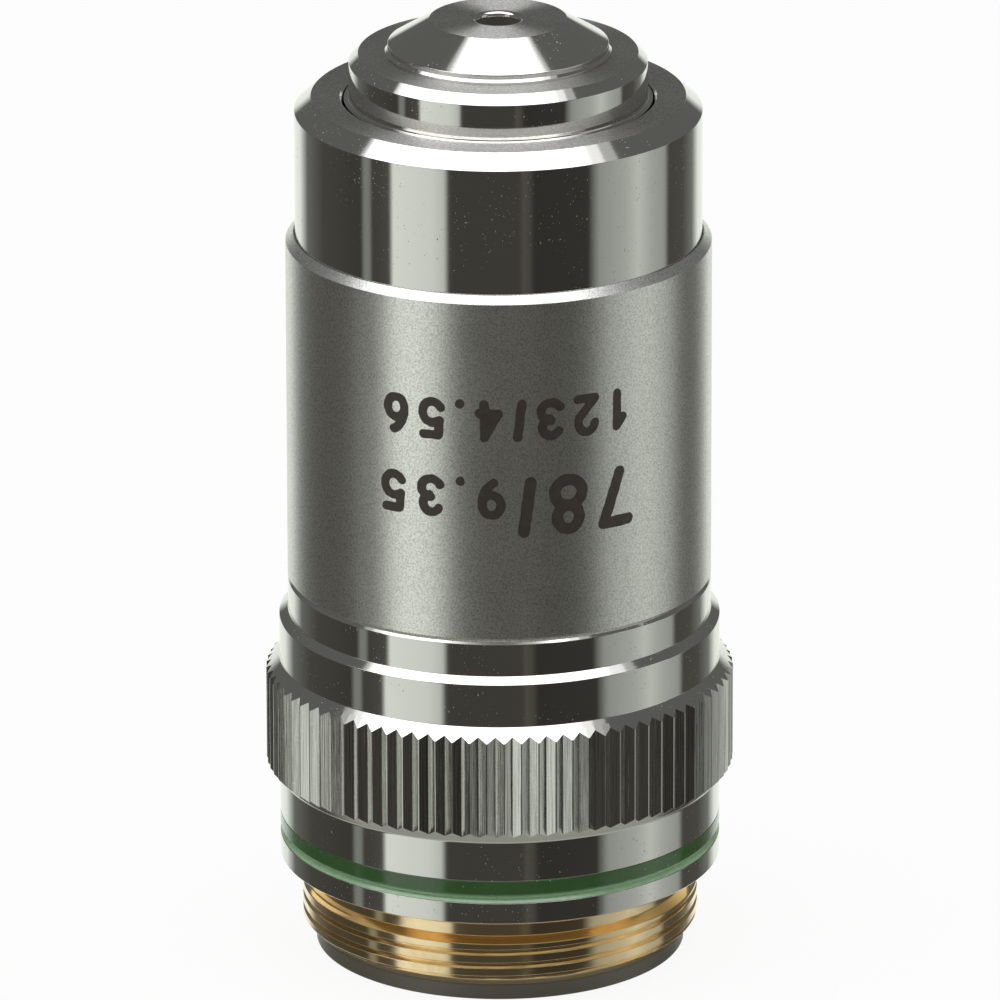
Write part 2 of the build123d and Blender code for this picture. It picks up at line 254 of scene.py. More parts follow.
def surface(name, colour, roughness, metallic=0.0, specular=0.5, coat=0.0, ior=1.5):
    """A new material with its shader, object coordinates and turned coordinates (angle, radius, height)."""
    made = bpy.data.materials.new(f"{name}_finish")
    made.use_nodes = True
    tree = made.node_tree
    shader = tree.nodes["Principled BSDF"]
    for key, value in (
        ("Base Color", opaque(colour)), ("Roughness", roughness), ("Metallic", metallic),
        ("Specular IOR Level", specular), ("IOR", ior), ("Coat Weight", coat),
    ):
        shader.inputs[key].default_value = value
    place = add(tree, "ShaderNodeTexCoord").outputs["Object"]
    x, y, z = parts(tree, place)
    return made, tree, shader, place, (calc(tree, "ARCTAN2", y, x), off_axis(tree, x, y), z)


def cover(shader, colour, rough=None):
    """Feeds a colour, and a roughness if there is one, to the shader."""
    feed(shader.inputs["Base Color"], colour)
    if rough is not None:
        feed(shader.inputs["Roughness"], rough)


def bump(shader, height, microns, below=None):
    """Feeds a height field to the shader's normal, over the normal below it if there is one."""
    inputs = {"Height": height, "Strength": 1.0, "Distance": microns * MICRON}
    if below is not None:
        inputs["Normal"] = below
    normal = get(shader.id_data, "ShaderNodeBump", inputs)
    feed(shader.inputs["Normal"], normal)
    return normal


def lines(tree, turned, per_mm, stretch=0.4):
    """Fine tool lines that run round the axis."""
    factors = (stretch, per_mm / MM, per_mm / MM)
    return noise(tree, vector(tree, *(scaled(tree, a, b) for a, b in zip(turned, factors))), 1.0)


def brushed(shader, amount, direction):
    """Spreads the shine along a direction given in object coordinates."""
    spaces = {"vector_type": "VECTOR", "convert_from": "OBJECT", "convert_to": "WORLD"}
    along = get(shader.id_data, "ShaderNodeVectorTransform", {0: direction}, **spaces)
    shader.inputs["Anisotropic"].default_value = amount
    feed(shader.inputs["Tangent"], along)


# Finishes, and the second colours that they are mixed with

WHITE = (1.0, 1.0, 1.0)
CHROME_PIT = (0.30, 0.31, 0.27)
SATIN_SHADE = (0.36, 0.36, 0.33)
STREAK_SHADE = (0.22, 0.22, 0.19)
TOOTH_SHADE = (0.46, 0.46, 0.42)
KNURL_SPECK = (0.9, 0.9, 0.88)
# Painted highlight: lighter greens for the enamel's lower slope, standing for the light it catches from below
SLOPE_HIGHLIGHT_GREEN = (0.22, 0.42, 0.21)
BRIGHT_SLOPE_HIGHLIGHT_GREEN = (0.42, 0.62, 0.40)
ENAMEL_DUST = (0.6, 0.7, 0.6)
TARNISH = (0.66, 0.48, 0.26)
WORN_BLACK = (0.16, 0.15, 0.13)
STEEL_SHADE = (0.36, 0.35, 0.33)
FADED_PAINT = (0.060, 0.045, 0.036)
CROWN_GLASS = (0.93, 0.96, 0.95)
FLINT_GLASS = (0.96, 0.95, 0.90)
COATING = (0.86, 0.72, 1.0)


def chrome_finish(f):
    """Polished chrome plate with faint tool lines, small pits and a little haze."""
    made, tree, shader, place, turned = surface("chrome", f.chrome, f.chrome_roughness, 1.0)
    haze = noise(tree, place, 320.0, 4.0, 0.6)
    pits = calc(tree, "GREATER_THAN", noise(tree, place, 9000.0, 1.0, 0.4), 0.730)
    spots = calc(tree, "MULTIPLY", pits, calc(tree, "GREATER_THAN", haze, 0.50))
    rough = scaled(tree, haze, 0.05, f.chrome_roughness - 0.03)
    colour = mix(tree, scaled(tree, spots, 0.10), f.chrome, CHROME_PIT)
    cover(shader, colour, scaled(tree, spots, 0.55, rough))
    bump(shader, lines(tree, turned, 9.0), 0.5)
    return made


def face_finish(f):
    """Dull chrome over a turned face: its round lines fan the light out towards the front and the back."""
    made, tree, shader, place, turned = surface("turned_chrome", f.chrome, 0.44, 1.0)
    marks = lines(tree, turned, 16.0, 0.15)
    mottle = rising(tree, noise(tree, place, 9000.0, 2.0, 0.6), 0.40, 0.64)
    specks = rising(tree, noise(tree, place, 6500.0, 2.0, 0.5), 0.62, 0.70, 0.6)
    dull = mix(tree, mottle, f.chrome, tuple(c * 0.72 for c in f.chrome))
    cover(shader, mix(tree, specks, dull, WHITE), scaled(tree, marks, 0.20, 0.36))
    x, y, _ = parts(tree, place)
    brushed(shader, 0.9, vector(tree, x, y))
    bump(shader, marks, 1.5)
    return made


def satin_finish(f):
    """Fine satin: an even grain over faint tool lines."""
    made, tree, shader, place, turned = surface("satin_chrome", f.satin, f.satin_roughness, 1.0)
    grain = noise(tree, place, 11000.0, 2.0, 0.7)
    cloud = noise(tree, place, 420.0)
    dark = rising(tree, grain, 0.42, 0.62, 0.50)
    rough = scaled(tree, cloud, 0.05, f.satin_roughness - 0.025)
    cover(shader, mix(tree, dark, f.satin, SATIN_SHADE), rough)
    brushed(shader, 0.35, vector(tree, z=1.0))
    turning = bump(shader, lines(tree, turned, 20.0, 6.0), 0.5)
    bump(shader, grain, 1.6, turning)
    return made


def knurl_finish(f):
    """Chrome over rolled teeth: streaks along the axis that differ from tooth to tooth."""
    made, tree, shader, place, (around, out, up) = surface("knurl_chrome", f.chrome, 0.12, 1.0)
    own = add(tree, "ShaderNodeAttribute", attribute_name="tooth").outputs["Fac"]
    shifted = scaled(tree, own, 53.0, scaled(tree, around, 460.0))
    stretched = vector(tree, shifted, scaled(tree, out, 16.0 / MM), scaled(tree, up, 0.16 / MM))
    streak = noise(tree, stretched, 1.0, 3.0, 0.55)
    specks = rising(tree, noise(tree, place, 8000.0, 2.0, 0.5), 0.64, 0.72, 0.3)
    colour = mix(tree, rising(tree, streak, 0.44, 0.62, 0.55), f.chrome, STREAK_SHADE)
    colour = mix(tree, scaled(tree, own, 0.3), colour, TOOTH_SHADE)
    rough = scaled(tree, streak, 0.08, scaled(tree, own, 0.06, 0.04))
    cover(shader, mix(tree, specks, colour, KNURL_SPECK), rough)
    bump(shader, streak, 6.0)
    return made


def enamel_finish(f):
    """Glossy green enamel, painted lighter on its lower slope as a painted highlight for the light it catches
    from below, with a dust speck here and there.
    """
    made, tree, shader, place, turned = surface("green_enamel", f.enamel, 0.14, coat=0.5)
    deep = mix(tree, noise(tree, place, 600.0), f.enamel, tuple(c * 1.35 for c in f.enamel))
    # Painted highlight: the lighter greens that the lower slope is painted with
    pale = mix(tree, noise(tree, place, 3000.0), SLOPE_HIGHLIGHT_GREEN, BRIGHT_SLOPE_HIGHLIGHT_GREEN)
    # Mask of the lower slope, where the painted highlight goes
    low = ramp(tree, scaled(tree, turned[2], 1 / MM, -GROOVE_BASE), ((0.24, 1.0), (0.40, 0.0)))
    specks = rising(tree, noise(tree, place, 4200.0, 1.0, 0.5), 0.76, 0.79, 0.5)
    cover(shader, mix(tree, specks, mix(tree, low, deep, pale), ENAMEL_DUST))
    bump(shader, noise(tree, place, 1800.0, 2.0, 0.5), 3.0)
    return made


def brass_finish(f):
    """Bright turned brass with fine tool lines and a little tarnish in patches."""
    made, tree, shader, place, turned = surface("brass", f.brass, 0.12, 1.0)
    marks = lines(tree, turned, 16.0, 0.6)
    dark = rising(tree, noise(tree, place, 700.0, 4.0, 0.6), 0.50, 0.74)
    rough = scaled(tree, marks, 0.06, scaled(tree, dark, 0.10, 0.07))
    cover(shader, mix(tree, scaled(tree, dark, 0.3), f.brass, TARNISH), rough)
    bump(shader, marks, 0.8)
    return made


def black_finish(f):
    """Blackened metal with a fine grain and worn grey edges."""
    made, tree, shader, place, turned = surface("black_metal", f.black, 0.42, specular=0.6)
    grain = noise(tree, place, 7000.0, 2.0, 0.6)
    ridge = add(tree, "ShaderNodeNewGeometry").outputs["Pointiness"]
    worn = calc(tree, "MULTIPLY", rising(tree, ridge, 0.505, 0.60, 0.5), noise(tree, place, 900.0))
    cover(shader, mix(tree, worn, f.black, WORN_BLACK), scaled(tree, grain, 0.2, 0.30))
    turning = bump(shader, lines(tree, turned, 8.0), 1.5)
    bump(shader, grain, 2.0, turning)
    return made


def steel_finish(f):
    """Bright steel with fine marks."""
    made, tree, shader, place, _ = surface("steel", f.steel, 0.28, 1.0)
    marks = noise(tree, place, 3000.0, 4.0, 0.7)
    cover(shader, mix(tree, marks, f.steel, STEEL_SHADE), scaled(tree, marks, 0.2, 0.2))
    bump(shader, marks, 1.5)
    return made


def paint_finish(f):
    """Dark paint filled into the numerals."""
    made, tree, shader, place, _ = surface("numeral_paint", f.paint, 0.45)
    cover(shader, mix(tree, noise(tree, place, 2500.0), f.paint, FADED_PAINT))
    return made


def glass_finish(name, colour, ior):
    """Coated lens glass with a trace of dust."""
    made, tree, shader, place, _ = surface(name, colour, 0.0, ior=ior)
    shader.inputs["Transmission Weight"].default_value = 1.0
    shader.inputs["Specular Tint"].default_value = opaque(COATING)
    dust = noise(tree, place, 5000.0, 2.0, 0.5)
    feed(shader.inputs["Roughness"], rising(tree, dust, 0.62, 0.80, 0.08))
    return made


FINISHES = {
    "chrome": chrome_finish,
    "turned_chrome": face_finish,
    "satin_chrome": satin_finish,
    "knurl_chrome": knurl_finish,
    "green_enamel": enamel_finish,
    "brass": brass_finish,
    "black_metal": black_finish,
    "steel": steel_finish,
    "numeral_paint": paint_finish,
    "crown_glass": lambda f: glass_finish("crown_glass", CROWN_GLASS, 1.52),
    "flint_glass": lambda f: glass_finish("flint_glass", FLINT_GLASS, 1.62),
}


@cache
def finish(name):
    """The finish of this name, made when first asked for."""
    return FINISHES[name](finishes())


# Turned solids

ON_AXIS = 1e-6
NO_TURN = 0.05
MOST_OF_SIDE = 0.45
SHARP = 40


def rounded(corners, edge, steps=5):
    """Rounds the corners of a closed (radius, height) outline, which may run either way round.

    A corner's third value, if it has one, is its own rounding. Each point comes back as its radius, its
    height and the angles of the normal on the way in and on the way out.
    """
    area = sum(a[0] * b[1] - b[0] * a[1] for a, b in zip(corners, corners[1:] + corners[:1]))
    if area < 0:
        corners = corners[::-1]
    points = []
    for i, corner in enumerate(corners):
        here = Vector(corner[:2])
        into = here - Vector(corners[i - 1][:2])
        away = Vector(corners[(i + 1) % len(corners)][:2]) - here
        start = atan2(-into.x, into.y)
        turn = (atan2(-away.x, away.y) - start + pi) % (2 * pi) - pi
        radius = corner[2] if len(corner) > 2 else edge
        if radius == 0 or abs(turn) < NO_TURN or here.x < ON_AXIS:
            points.append((here.x, here.y, start, start + turn))
            continue
        slope = abs(sin(turn / 2) / cos(turn / 2))
        back = min(radius * slope, MOST_OF_SIDE * into.length, MOST_OF_SIDE * away.length)
        radius = back / slope
        side = 1 if turn > 0 else -1
        first = here - into.normalized() * back
        centre = first - side * radius * Vector((cos(start), sin(start)))
        for k in range(steps + 1):
            angle = start + turn * k / steps
            spot = centre + side * radius * Vector((cos(angle), sin(angle)))
            points.append((spot.x, spot.y, angle, angle))
    return points


def put(name, data):
    """A new object in the scene that holds this data."""
    made = bpy.data.objects.new(name, data)
    bpy.context.scene.collection.objects.link(made)
    return made


def lathe(name, corners, edge=None, segments=256):
    """Turns a closed outline about the optical axis into a smooth solid. Sizes are in millimetres."""
    points = rounded(corners, sizes().edge if edge is None else edge)
    turns = [2 * pi * s / segments for s in range(segments)]
    verts, index = [], []
    for r, z, _, _ in points:
        if r < ON_AXIS:
            index.append([len(verts)] * segments)
            verts.append((0, 0, z * MM))
            continue
        index.append(range(len(verts), len(verts) + segments))
        verts.extend((r * cos(a) * MM, r * sin(a) * MM, z * MM) for a in turns)
    faces, normals = [], []
    for j, (r, _, _, leaving) in enumerate(points):
        k = (j + 1) % len(points)
        if r < ON_AXIS and points[k][0] < ON_AXIS:
            continue
        arriving = points[k][2]
        for s in range(segments):
            t = (s + 1) % segments
            loop = [(index[j][s], s, leaving), (index[j][t], t, leaving),
                    (index[k][t], t, arriving), (index[k][s], s, arriving)]
            if loop[0][0] == loop[1][0]:
                loop.pop(0)
            elif loop[2][0] == loop[3][0]:
                loop.pop(3)
            faces.append([v for v, _, _ in loop])
            for _, step, angle in loop:
                a = turns[step]
                normals.append((cos(angle) * cos(a), cos(angle) * sin(a), sin(angle)))
    mesh = bpy.data.meshes.new(name)
    mesh.from_pydata(verts, [], faces)
    mesh.polygons.foreach_set("use_smooth", [True] * len(faces))
    mesh.normals_split_custom_set(normals)
    return put(name, mesh)


def plain(piece):
    """Replaces a piece's mesh by its evaluated one and drops its modifiers."""
    bpy.context.view_layer.update()
    seen = piece.evaluated_get(bpy.context.evaluated_depsgraph_get())
    mesh = bpy.data.meshes.new_from_object(seen)
    mesh.name = piece.name
    piece.modifiers.clear()
    piece.data = mesh


def even(piece, limit=50):
    """Drops a mesh's own normals and shades it smooth, but for edges sharper than the limit in degrees."""
    mesh = piece.data
    stored = mesh.attributes.get("custom_normal")
    if stored:
        mesh.attributes.remove(stored)
    mesh.set_sharp_from_angle(angle=radians(limit))


def cut(piece, cutters):
    """Takes the cutters away from a turned piece and evens out its shading."""
    for cutter in cutters:
        made = piece.modifiers.new("cut", "BOOLEAN")
        made.operation = "DIFFERENCE"
        made.solver = "EXACT"
        made.object = cutter
    plain(piece)
    for cutter in cutters:
        bpy.data.objects.remove(cutter)
    piece.data.set_sharp_from_angle(angle=radians(SHARP))
    made = piece.modifiers.new("even", "WEIGHTED_NORMAL")
    made.keep_sharp = True
    plain(piece)


def meshed(name, shape):
    """An object made of a bmesh."""
    mesh = bpy.data.meshes.new(name)
    shape.to_mesh(mesh)
    shape.free()
    return put(name, mesh)


def solid(name, shape):
    """An object made of a bmesh, with its doubles merged and its faces outwards."""
    bmesh.ops.remove_doubles(shape, verts=shape.verts, dist=1e-8)
    bmesh.ops.recalc_face_normals(shape, faces=shape.faces)
    return meshed(name, shape)


def peg(radius, angle, height, inner, outer):
    """A radial peg from one radius to another, as a cutter."""
    shape = bmesh.new()
    lifted = Matrix.Translation(((inner + outer) / 2 * MM, 0, height * MM)) @ Matrix.Rotation(pi / 2, 4, "Y")
    bmesh.ops.create_cone(
        shape, cap_ends=True, segments=48, radius1=radius * MM, radius2=radius * MM,
        depth=(outer - inner) * MM, matrix=Matrix.Rotation(angle, 4, "Z") @ lifted,
    )
    return solid("peg", shape)


def brick(x, y, z):
    """A box between (low, high) pairs, as a cutter."""
    shape = bmesh.new()
    bmesh.ops.create_cube(shape, size=MM)
    centre = [(a + b) / 2 * MM for a, b in (x, y, z)]
    span = [b - a for a, b in (x, y, z)]
    sized = Matrix.Translation(centre) @ Matrix.Diagonal((*span, 1))
    bmesh.ops.transform(shape, matrix=sized, verts=shape.verts)
    return solid("brick", shape)


def node_group(title, takes, gives, settings):
    """A geometry node tree with an input for each setting; gives the tree and its inputs."""
    tree = bpy.data.node_groups.new(title, "GeometryNodeTree")
    tree.interface.new_socket(takes, in_out="INPUT", socket_type="NodeSocketGeometry")
    kinds = {int: "Int", float: "Float", bpy.types.Material: "Material"}
    for name, value in settings.items():
        tree.interface.new_socket(name, in_out="INPUT", socket_type=f"NodeSocket{kinds[type(value)]}")
    tree.interface.new_socket(gives, in_out="OUTPUT", socket_type="NodeSocketGeometry")
    return tree, tree.nodes.new("NodeGroupInput").outputs


def run_group(piece, tree, made, given, settings, after=()):
    """Realizes the tree's result, gives it its finish, runs the tree on the piece and keeps the mesh."""
    last = ("GeometryNodeSetMaterial", {"Material": given["Finish"]})
    for kind, inputs in (("GeometryNodeRealizeInstances", {}), *after, last):
        made = get(tree, kind, {"Geometry": made, **inputs})
    add(tree, "NodeGroupOutput", {0: made})
    run = piece.modifiers.new(tree.name, "NODES")
    run.node_group = tree
    for item in tree.interface.items_tree:
        if item.name in settings:
            run[item.identifier] = settings[item.name]
    plain(piece)


def dress(piece, body, slot, *stands_for, material=None):
    """Gives a piece its finish and its body, and hides the nodes it stands for."""
    piece.data.materials.clear()
    piece.data.materials.append(finish(material or slot))
    if stands_for:
        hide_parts(*stands_for)
    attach(piece, body)


def repaint(piece, material, chosen):
    """Gives another material to the faces chosen by radius, height and their normal's rise."""
    piece.data.materials.append(finish(material))
    last = len(piece.data.materials) - 1
    for face in piece.data.polygons:
        if chosen(hypot(*face.center.xy) / MM, face.center.z / MM, face.normal.z):
            face.material_index = last


# Pieces


class Step:
    """What the operators share: each builds its piece from the sizes."""

    def execute(self, context):
        self.build(sizes())
        return {"FINISHED"}


class OBJECTIVE_OT_mount(Step, bpy.types.Operator):
    """Turns the chromed mount body: bands, groove, core under the grip and spigot inside the barrel"""

    bl_idname = "objective.mount"
    bl_label = "Mount body"

    def build(self, s):
        waist = CORE_R - 0.15
        band_top, rim_base = 12.86, 13.19
        spigot, wide_bore, bore_top = 9.30, 8.40, 9.50
        piece = lathe("mount_shell", [
            (BORE_R, 0), (BAND_R - 0.08, 0, 0.03), (BAND_R, 0.08, 0.03), (BAND_R, GROOVE_BASE, 0.03),
            (GROOVE_R, GROOVE_BASE), (GROOVE_R, GROOVE_TOP), (BAND_R, GROOVE_TOP, 0.03),
            (BAND_R, s.grip_base, s.grip_fillet), (CORE_R, s.grip_base + CORE_R - BAND_R, 0),
            (waist, s.grip_base + 0.5, 0), (waist, s.grip_top - 0.5, 0),
            (CORE_R, s.grip_top - CORE_R + BAND_R, 0), (BAND_R, s.grip_top, 0.06),
            (BAND_R, band_top, 0.06), (SLEEVE_R, rim_base), (SLEEVE_R, SEAT - 0.30),
            (SLEEVE_R - 0.27, SEAT, 0.02), (spigot, SEAT), (spigot, SPIGOT_TOP), (wide_bore, SPIGOT_TOP),
            (wide_bore, bore_top), (BORE_R, bore_top),
        ])
        dress(piece, BARREL, "chrome", "mount_body")
        rim = BAND_R - 0.3
        repaint(piece, "brass", lambda r, z, up: z < 0.075 and r > rim or r < spigot + 0.02 or z < 0.001)


class OBJECTIVE_OT_knurl(Step, bpy.types.Operator):
    """Sets the teeth of the straight knurl round the grip"""

    bl_idname = "objective.knurl"
    bl_label = "Knurled grip"

    def build(self, s):
        pitch = 2 * pi / s.teeth
        land = s.knurl_land / GRIP_R
        root = GRIP_R - s.knurl_depth
        inner, sunk = BAND_R + 0.10, 0.45
        shape = bmesh.new()
        columns = []
        for angle, r in ((-pitch / 2, root), (-land / 2, GRIP_R), (land / 2, GRIP_R), (pitch / 2, root)):
            rise = [(inner, sunk), (CORE_R, CORE_R - BAND_R), (r, r - BAND_R)]
            column = [(q, s.grip_base + z) for q, z in rise]
            column += [(q, s.grip_top - z) for q, z in reversed(rise)]
            columns.append([
                shape.verts.new((q * cos(angle) * MM, q * sin(angle) * MM, z * MM)) for q, z in column
            ])
        for left, right in zip(columns, columns[1:]):
            for k in range(len(left)):
                n = (k + 1) % len(left)
                shape.faces.new((left[k], right[k], right[n], left[n]))
        piece = meshed("knurled_grip", shape)

        settings = {"Teeth": s.teeth, "Seed": 7, "Finish": finish("knurl_chrome")}
        tree, given = node_group("Straight knurl", "Tooth", "Grip", settings)
        spots = get(tree, "GeometryNodeMeshLine", {"Count": given["Teeth"], "Offset": (0, 0, 0)})
        step = calc(tree, "DIVIDE", 2 * pi, given["Teeth"])
        turn = calc(tree, "MULTIPLY", get(tree, "GeometryNodeInputIndex"), step)
        row = get(tree, "GeometryNodeInstanceOnPoints", {
            "Points": spots, "Instance": given["Tooth"], "Rotation": vector(tree, z=turn),
        })
        own = add(tree, "FunctionNodeRandomValue", {"Seed": given["Seed"]}, data_type="FLOAT").outputs[1]
        stored = {"Geometry": row, "Name": "tooth", "Value": own}
        made = get(tree, "GeometryNodeStoreNamedAttribute", stored, data_type="FLOAT", domain="INSTANCE")
        run_group(piece, tree, made, given, settings, (
            ("GeometryNodeMergeByDistance", {"Distance": 1e-6}),
            ("GeometryNodeSetShadeSmooth", {"Shade Smooth": False}),
        ))
        dress(piece, BARREL, "chrome", "mount_body", material="knurl_chrome")
        repaint(piece, "chrome", lambda r, z, up: abs(up) > 0.5)


class OBJECTIVE_OT_thread(Step, bpy.types.Operator):
    """Cuts the right-handed mounting thread into its brass blank"""

    bl_idname = "objective.thread"
    bl_label = "Mounting thread"

    def build(self, s):
        rows, columns = 220, 280
        chamfer, neck_depth, neck_slope = 0.65, 0.50, 0.30
        seat_r, seat_depth = 8.62, 2
        blank = [
            (s.crest_r - chamfer, THREAD_END), (s.crest_r, THREAD_END + chamfer),
            (s.crest_r, -s.relief - neck_slope), (s.crest_r - neck_depth, -s.relief),
            (s.crest_r - neck_depth, 0),
        ]

        def wall(z):
            """The blank's radius at a height."""
            for (r0, z0), (r1, z1) in zip(blank, blank[1:]):
                if z <= z1:
                    return r0 + (r1 - r0) * (z - z0) / (z1 - z0)
            return blank[-1][0]

        heights = [THREAD_END * (1 - k / rows) for k in range(rows + 1)]
        outline = [(wall(z), z, 0) for z in heights]
        outline += [
            (BORE_R, 0, 0), (BORE_R, THREAD_END + seat_depth, 0), (seat_r, THREAD_END + seat_depth, 0),
            (seat_r, THREAD_END, 0),
        ]
        piece = lathe("mounting_thread", outline, segments=columns)

        settings = {
            "Pitch": s.pitch * MM, "Crest": s.crest_r * MM, "Depth": s.thread_depth * MM,
            "Crest share": s.crest_share, "Flank share": s.flank_share,
            "Start": (-s.relief - 0.05) * MM, "Finish": finish("brass"),
        }
        tree, given = node_group("Mounting thread", "Blank", "Thread", settings)
        x, y, z = parts(tree, get(tree, "GeometryNodeInputPosition"))
        turn = calc(tree, "DIVIDE", calc(tree, "ARCTAN2", y, x), 2 * pi)
        out = off_axis(tree, x, y)
        along = calc(tree, "SUBTRACT", calc(tree, "DIVIDE", z, given["Pitch"]), turn)
        # A triangle wave, clipped at both ends to leave a flat crest and a flat root
        wave = scaled(tree, calc(tree, "PINGPONG", along, 0.5), 2.0)
        past = calc(tree, "SUBTRACT", wave, given["Crest share"])
        wave = calc(tree, "DIVIDE", past, given["Flank share"], clamp=True)
        wanted = calc(tree, "SUBTRACT", given["Crest"], calc(tree, "MULTIPLY", wave, given["Depth"]))
        goal = calc(tree, "DIVIDE", calc(tree, "MINIMUM", out, wanted), out)
        moved = vector(tree, calc(tree, "MULTIPLY", x, goal), calc(tree, "MULTIPLY", y, goal), z)
        below = calc(tree, "LESS_THAN", z, given["Start"])
        outside = calc(tree, "GREATER_THAN", out, calc(tree, "SUBTRACT", given["Crest"], 0.9 * MM))
        chosen = calc(tree, "MULTIPLY", below, outside)
        made = get(tree, "GeometryNodeSetPosition", {
            "Geometry": given["Blank"], "Selection": chosen, "Position": moved,
        })
        run_group(piece, tree, made, given, settings)
        even(piece, 75)
        dress(piece, BARREL, "brass", "mount_body")


class OBJECTIVE_OT_rings(Step, bpy.types.Operator):
    """Turns the green colour ring and the blackened rear ring"""

    bl_idname = "objective.rings"
    bl_label = "Colour ring and rear ring"

    def build(self, _):
        slope, slope_top = 0.30, GROOVE_TOP - 0.73
        piece = lathe("enamel_ring", [
            (GROOVE_R, GROOVE_BASE), (BAND_R, GROOVE_BASE, 0.02), (BAND_R - slope, GROOVE_BASE + slope, 0.10),
            (BAND_R, slope_top, 0.06), (BAND_R, GROOVE_TOP - 0.04, 0.03), (BAND_R - 0.04, GROOVE_TOP, 0.01),
            (GROOVE_R, GROOVE_TOP),
        ])
        dress(piece, BARREL, "green_enamel", "colour_ring")
        bore, spigot = 6.50, 8.59
        piece = lathe("black_ring", [
            (bore, RING_END, 0.08), (RING_R, RING_END, 0.12), (RING_R, THREAD_END, 0.12),
            (spigot, THREAD_END), (spigot, RING_TOP), (bore, RING_TOP),
        ])
        cut(piece, [brick((-12, 12), (-0.6, 0.6), (RING_END - 0.5, RING_END + 0.5))])
        dress(piece, BARREL, "black_metal", "rear_ring")


class OBJECTIVE_OT_sleeve(Step, bpy.types.Operator):
    """Turns the satin label sleeve"""

    bl_idname = "objective.sleeve"
    bl_label = "Label sleeve"

    def build(self, _):
        inner, chamfer = BARREL_R + 0.02, 0.39
        piece = lathe("satin_sleeve", [
            (inner, SEAT), (SLEEVE_R, SEAT, 0.03), (SLEEVE_R, SLEEVE_TOP - chamfer, 0.06),
            (SLEEVE_R - chamfer, SLEEVE_TOP, 0.03), (inner, SLEEVE_TOP, 0.02),
        ])
        dress(piece, BARREL, "satin_chrome", "label_sleeve")


class OBJECTIVE_OT_barrel(Step, bpy.types.Operator):
    """Turns the chrome front barrel and drills it for its screws"""

    bl_idname = "objective.barrel"
    bl_label = "Front barrel"

    def build(self, _):
        bore, lead, socket, socket_top, flange_bore = 7.85, 0.13, 9.33, 21.41, 8.90
        piece = lathe("chrome_barrel", [
            (bore, STOP_HEIGHT), (bore, BARREL_FACE - lead, 0.04), (bore + lead, BARREL_FACE, 0.04),
            (BARREL_R - 0.85, BARREL_FACE), (BARREL_R, BARREL_FACE - 0.74), (BARREL_R, BARREL_BASE),
            (socket, BARREL_BASE), (socket, socket_top), (flange_bore, socket_top),
            (flange_bore, STOP_HEIGHT),
        ])
        pegs = [peg(0.98, radians(a), SCREW_HEIGHT, 5, 12) for a in (30, 150, 270)]
        cut(piece, pegs + [peg(1.03, pi / 2, GUIDE_HEIGHT, 5, 12)])
        dress(piece, BARREL, "chrome", "front_barrel")
        repaint(piece, "turned_chrome", lambda r, z, up: z > BARREL_FACE - 0.01 and r > bore + 0.15)


class OBJECTIVE_OT_nose(Step, bpy.types.Operator):
    """Turns the sliding nose and the front cell with its cone tip"""

    bl_idname = "objective.nose"
    bl_label = "Nose and front cell"

    def build(self, _):
        front, guided, skirt, bore, cell_bore = 7.52, 7.78, 7.10, 6.40, 5.05
        chamfer, cove_foot, web = 0.48, NOSE_FACE - 2.36, 39.20
        flange_top, flange_base = STOP_HEIGHT - 0.02, STOP_HEIGHT - 2.02
        piece = lathe("chrome_nose", [
            (cell_bore, NOSE_FACE), (front - chamfer, NOSE_FACE, 0.03), (front, NOSE_FACE - chamfer, 0.05),
            (front, cove_foot, 0.25), (guided, cove_foot, 0.03), (guided, flange_top), (FLANGE_R, flange_top),
            (FLANGE_R, flange_base), (skirt, flange_base), (skirt, SKIRT_END), (bore, SKIRT_END), (bore, web),
            (cell_bore, web),
        ])
        half, low, high = 0.63, GUIDE_HEIGHT - 0.15, GUIDE_HEIGHT + 3.15
        ends = [peg(half, pi / 2, z, 7.20, 9) for z in (low, high)]
        cut(piece, ends + [brick((-half, half), (7.20, 9), (low, high))])
        dress(piece, NOSE, "chrome", "nose_sleeve")
        repaint(piece, "turned_chrome", lambda r, z, up: z > NOSE_FACE - 0.01)

        hole, flat, cone, collar, spigot, lens_seat, lens_r = 1.06, 3.455, 5.56, 5.70, 5.02, 2.41, 1.92
        seat, spigot_end = NOSE_TIP - 0.81, 39.40
        piece = lathe("cone_tip", [
            (hole, NOSE_TIP, 0.28), (flat, NOSE_TIP, 0.04), (cone, NOSE_TIP - 1.26, 0.05),
            (cone, NOSE_FACE + 0.28, 0.02), (collar, NOSE_FACE + 0.14, 0.02), (collar, NOSE_FACE, 0.02),
            (spigot, NOSE_FACE), (spigot, spigot_end), (lens_seat, spigot_end), (lens_seat, seat - 2.0),
            (lens_r, seat - 2.0), (lens_r, seat, 0), (hole, seat, 0.02),
        ])
        dress(piece, NOSE, "chrome", "front_cell")
        repaint(piece, "turned_chrome", lambda r, z, up: z > NOSE_TIP - 0.005 and r > hole + 0.30)
        repaint(piece, "black_metal", lambda r, z, up: r < 2.5 and z < NOSE_TIP - 0.45)


def fall(curve, at):
    """How far a ground face with this radius of curvature falls back at a distance from the axis."""
    return 0.0 if curve == 0 else (abs(curve) - sqrt(curve * curve - at * at)) * (1 if curve > 0 else -1)


